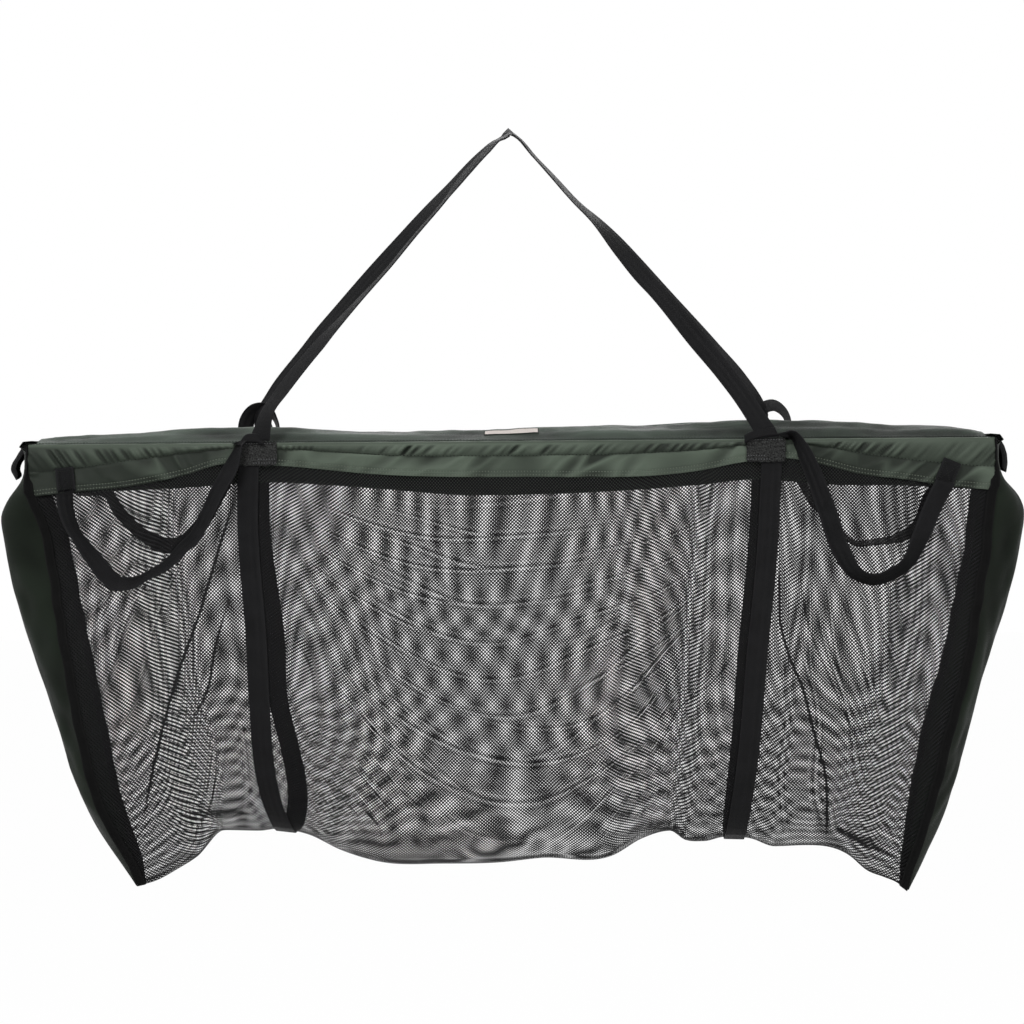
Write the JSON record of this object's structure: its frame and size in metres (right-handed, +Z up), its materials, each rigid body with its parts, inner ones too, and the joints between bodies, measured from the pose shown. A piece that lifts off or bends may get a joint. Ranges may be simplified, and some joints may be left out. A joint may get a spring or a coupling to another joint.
{
  "type": "carp retainer",
  "caption": "Floating zipped net bag for holding and weighing a carp, with cloth rims and ends, cradle straps, side handles and two long webbing handles that meet on a hook.",
  "frame": {"origin": "the seat of the two main handles on a hook, on the underside of their webbing", "axes": "+X along the bag, +Y from the front to the rear, +Z up as it hangs"},
  "size_m": [1.2438, 0.1718, 0.9165],
  "materials": {
    "net": "fine black knitted net",
    "green_cloth": "coated dark green cloth with a soft sheen",
    "gusset_cloth": "coated very dark green cloth",
    "webbing": "woven black webbing",
    "binding": "black binding tape",
    "patch": "rough dark grey cloth",
    "zip_tape": "black woven tape",
    "zip_coil": "black nylon coil",
    "slider_metal": "black enamel",
    "pull_tab": "black enamel",
    "foam": "closed-cell foam",
    "label": "pale blank woven label"
  },
  "bodies": {
    "sling": {"net_body": "net", "rim_sleeve_front": "green_cloth", "rim_sleeve_rear": "green_cloth", "gusset_left": "gusset_cloth", "gusset_right": "gusset_cloth", "binding_front_left": "binding", "patch_front_left": "patch", "sewn_end_front_left": "webbing", "binding_front_right": "binding", "patch_front_right": "patch", "sewn_end_front_right": "webbing", "float_front_left": "foam", "float_front_middle": "foam", "float_front_right": "foam", "binding_rear_left": "binding", "patch_rear_left": "patch", "sewn_end_rear_left": "webbing", "binding_rear_right": "binding", "patch_rear_right": "patch", "sewn_end_rear_right": "webbing", "float_rear_left": "foam", "float_rear_middle": "foam", "float_rear_right": "foam", "cradle_strap_left": "webbing", "zip_end_left": "zip_tape", "rear_bend_left": "webbing", "cradle_strap_right": "webbing", "zip_end_right": "zip_tape", "rear_bend_right": "webbing"},
    "main_handle_front": {"main_handle_front": "webbing"},
    "main_handle_rear": {"main_handle_rear": "webbing"},
    "roof_flap_front": {"roof_flap_front": "green_cloth", "zip_tape_front": "zip_tape", "zip_coil_front": "zip_coil", "label": "label"},
    "roof_flap_rear": {"roof_flap_rear": "green_cloth", "zip_tape_rear": "zip_tape", "zip_coil_rear": "zip_coil"},
    "zip_slider": {"zip_slider": "slider_metal"},
    "pull_tab": {"pull_tab": "pull_tab"},
    "side_handle_front_left": {"side_handle_front_left": "webbing"},
    "side_handle_front_right": {"side_handle_front_right": "webbing"},
    "side_handle_rear_left": {"side_handle_rear_left": "webbing"},
    "side_handle_rear_right": {"side_handle_rear_right": "webbing"}
  },
  "joints": [
    {"name": "main_handle_front_swing", "type": "hinge", "parent": "sling", "child": "main_handle_front", "pos_m": [0, -0.061, -0.3665], "axis": [1, 0, 0], "range_deg": [0, 165]},
    {"name": "main_handle_rear_swing", "type": "hinge", "parent": "sling", "child": "main_handle_rear", "pos_m": [0, 0.061, -0.3665], "axis": [-1, 0, 0], "range_deg": [0, 165]},
    {"name": "roof_flap_front_lift", "type": "hinge", "parent": "sling", "child": "roof_flap_front", "pos_m": [0, -0.05, -0.3668], "axis": [1, 0, 0], "range_deg": [0, 62]},
    {"name": "roof_flap_rear_lift", "type": "hinge", "parent": "sling", "child": "roof_flap_rear", "pos_m": [0, 0.05, -0.3668], "axis": [-1, 0, 0], "range_deg": [0, 62]},
    {"name": "zip_run", "type": "slide", "parent": "roof_flap_front", "child": "zip_slider", "axis": [1, 0, 0], "range_m": [0, 1.108]},
    {"name": "pull_tab_flip", "type": "hinge", "parent": "zip_slider", "child": "pull_tab", "pos_m": [-0.55232, 0, -0.3608], "axis": [0, -1, 0], "range_deg": [0, 150]},
    {"name": "side_handle_front_left_swing", "type": "hinge", "parent": "sling", "child": "side_handle_front_left", "pos_m": [-0.325, -0.061, -0.3665], "axis": [-0.962, 0, -0.2732], "range_deg": [0, 150]},
    {"name": "side_handle_front_right_swing", "type": "hinge", "parent": "sling", "child": "side_handle_front_right", "pos_m": [0.325, -0.061, -0.3665], "axis": [-0.962, 0, 0.2732], "range_deg": [0, 150]},
    {"name": "side_handle_rear_left_swing", "type": "hinge", "parent": "sling", "child": "side_handle_rear_left", "pos_m": [-0.347, 0.061, -0.3665], "axis": [0.9532, 0, 0.3023], "range_deg": [0, 150]},
    {"name": "side_handle_rear_right_swing", "type": "hinge", "parent": "sling", "child": "side_handle_rear_right", "pos_m": [0.347, 0.061, -0.3665], "axis": [0.9532, 0, -0.3023], "range_deg": [0, 150]}
  ]
}
